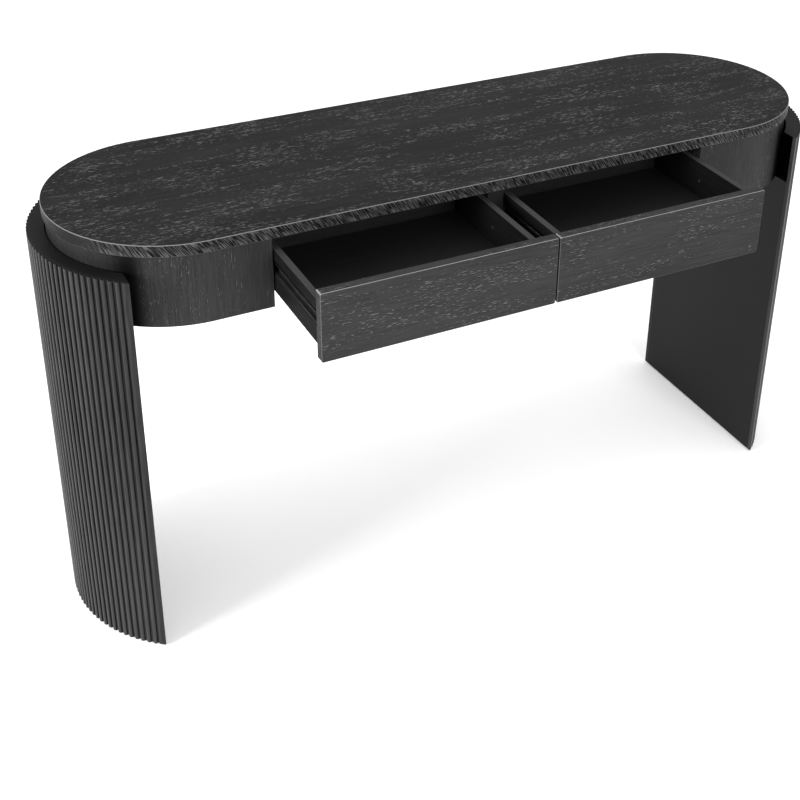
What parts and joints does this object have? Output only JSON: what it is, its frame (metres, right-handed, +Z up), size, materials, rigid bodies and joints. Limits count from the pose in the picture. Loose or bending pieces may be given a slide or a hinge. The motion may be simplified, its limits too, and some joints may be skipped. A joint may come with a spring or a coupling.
{
  "type": "console table",
  "caption": "Round-ended black oak console table on reeded D-shaped legs, with drawers side by side under the top.",
  "frame": {"origin": "on the floor, under the middle of the table top", "axes": "+X along the table, -Y out of the drawers' fronts, +Z up"},
  "size_m": [1.4518, 0.578, 0.76],
  "materials": {
    "black_oak_veneer": "satin open-grain black stain",
    "reeded_black_wood": "matte black lacquer on reeded wood",
    "smooth_black_lacquer": "smooth matte black lacquer",
    "carcass_board": "black-faced board",
    "drawer_box_board": "matte black-faced board",
    "bare_wood": "bare softwood",
    "slide_steel": "black zinc",
    "black_steel_hardware": "black oxide",
    "brass_insert": "plain",
    "black_nylon": "moulded"
  },
  "bodies": {
    "root": {"table_top": "black_oak_veneer", "partition_cleats": "bare_wood", "cheek_cleats": "bare_wood", "back_cleats": "bare_wood", "cleat_screws": "black_steel_hardware", "back_apron": "black_oak_veneer", "centre_partition": "carcass_board", "carcass_slide_screws": "black_steel_hardware", "leg_bolts": "black_steel_hardware", "leg_washers": "black_steel_hardware", "leg_inserts": "brass_insert", "left_apron_end": "black_oak_veneer", "left_cheek": "carcass_board", "left_leg_skin": "reeded_black_wood", "left_leg_core": "carcass_board", "left_leg_panel": "smooth_black_lacquer", "left_leg_top_plate": "carcass_board", "left_leg_rib": "carcass_board", "left_leg_base": "carcass_board", "left_leg_glides": "black_nylon", "left_mount_board": "carcass_board", "right_apron_end": "black_oak_veneer", "right_cheek": "carcass_board", "right_leg_skin": "reeded_black_wood", "right_leg_core": "carcass_board", "right_leg_panel": "smooth_black_lacquer", "right_leg_top_plate": "carcass_board", "right_leg_rib": "carcass_board", "right_leg_base": "carcass_board", "right_leg_glides": "black_nylon", "right_mount_board": "carcass_board", "left_drawer_inner_slide_carcass_member": "slide_steel", "left_drawer_outer_slide_carcass_member": "slide_steel", "right_drawer_inner_slide_carcass_member": "slide_steel", "right_drawer_outer_slide_carcass_member": "slide_steel"},
    "left_drawer": {"left_drawer_front": "black_oak_veneer", "left_drawer_inner_side": "drawer_box_board", "left_drawer_outer_side": "drawer_box_board", "left_drawer_back": "drawer_box_board", "left_drawer_bottom": "drawer_box_board", "left_drawer_dowels": "bare_wood", "left_drawer_back_screws": "black_steel_hardware", "left_drawer_slide_screws": "black_steel_hardware", "left_drawer_inner_slide_drawer_member": "slide_steel", "left_drawer_outer_slide_drawer_member": "slide_steel"},
    "left_drawer_ball_cages": {"left_drawer_inner_slide_ball_cage": "slide_steel", "left_drawer_outer_slide_ball_cage": "slide_steel"},
    "right_drawer": {"right_drawer_front": "black_oak_veneer", "right_drawer_inner_side": "drawer_box_board", "right_drawer_outer_side": "drawer_box_board", "right_drawer_back": "drawer_box_board", "right_drawer_bottom": "drawer_box_board", "right_drawer_dowels": "bare_wood", "right_drawer_back_screws": "black_steel_hardware", "right_drawer_slide_screws": "black_steel_hardware", "right_drawer_inner_slide_drawer_member": "slide_steel", "right_drawer_outer_slide_drawer_member": "slide_steel"},
    "right_drawer_ball_cages": {"right_drawer_inner_slide_ball_cage": "slide_steel", "right_drawer_outer_slide_ball_cage": "slide_steel"}
  },
  "joints": [
    {"name": "left_drawer_slide", "type": "slide", "parent": "root", "child": "left_drawer", "axis": [0, -1, 0], "range_m": [-0.182, 0.025]},
    {"name": "left_drawer_cage_slide", "type": "slide", "parent": "root", "child": "left_drawer_ball_cages", "axis": [0, -1, 0], "range_m": [-0.091, 0.0125]},
    {"name": "right_drawer_slide", "type": "slide", "parent": "root", "child": "right_drawer", "axis": [0, -1, 0], "range_m": [-0.182, 0.025]},
    {"name": "right_drawer_cage_slide", "type": "slide", "parent": "root", "child": "right_drawer_ball_cages", "axis": [0, -1, 0], "range_m": [-0.091, 0.0125]}
  ],
  "couplings": [
    {"joint": "left_drawer_cage_slide", "follows": "left_drawer_slide", "ratio": 0.5},
    {"joint": "right_drawer_cage_slide", "follows": "right_drawer_slide", "ratio": 0.5}
  ]
}
